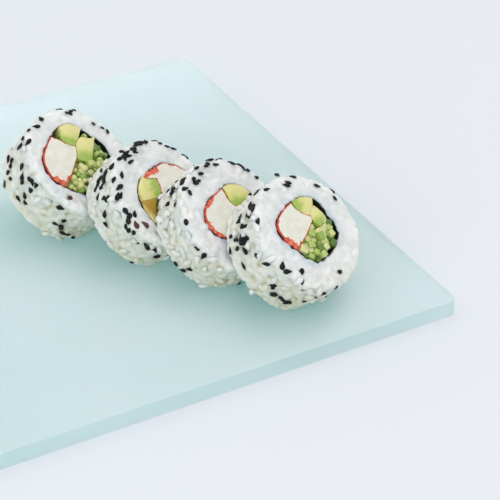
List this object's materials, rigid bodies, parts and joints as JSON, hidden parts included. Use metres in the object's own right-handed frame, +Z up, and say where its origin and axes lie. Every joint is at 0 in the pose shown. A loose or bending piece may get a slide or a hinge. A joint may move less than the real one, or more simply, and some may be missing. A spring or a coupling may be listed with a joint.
{
  "type": "uramaki roll on a glass plate",
  "caption": "Slices of inside-out sushi roll leaning in a row on a rectangular satin glass plate, with rice and black sesame outside and crab stick, avocado and cucumber inside.",
  "frame": {"origin": "middle of the plate's underside", "axes": "+X along the plate's long side, +Y across the plate to its back edge, +Z up; the slices lie on the right half and their row runs from the back to the front"},
  "size_m": [0.35, 0.25, 0.0583],
  "materials": {
    "glass": "satin glass, pale aqua, with clear ground edges",
    "rice": "cooked short-grain rice, white and slightly see-through, pressed",
    "sesame": "toasted black sesame seeds",
    "nori": "moist dried seaweed sheet",
    "crab_stick": "fine-grained white crab stick with a thin orange-red skin",
    "avocado": "ripe avocado, yellow shading to green at the skin side",
    "cucumber": "wet cucumber sticks, pale green, some with dark skin"
  },
  "bodies": {
    "root": {"plate": "glass", "roll_1_rice": "rice", "roll_1_nori": "nori", "roll_1_crab": "crab_stick", "roll_1_avocado_a": "avocado", "roll_1_avocado_b": "avocado", "roll_1_cucumber": "cucumber", "roll_2_rice": "rice", "roll_2_nori": "nori", "roll_2_crab": "crab_stick", "roll_2_avocado_a": "avocado", "roll_2_avocado_b": "avocado", "roll_2_cucumber": "cucumber", "roll_3_rice": "rice", "roll_3_nori": "nori", "roll_3_crab": "crab_stick", "roll_3_avocado_a": "avocado", "roll_3_avocado_b": "avocado", "roll_3_cucumber": "cucumber", "roll_4_rice": "rice", "roll_4_nori": "nori", "roll_4_crab": "crab_stick", "roll_4_avocado_a": "avocado", "roll_4_avocado_b": "avocado", "roll_4_cucumber": "cucumber"}
  },
  "joints": []
}
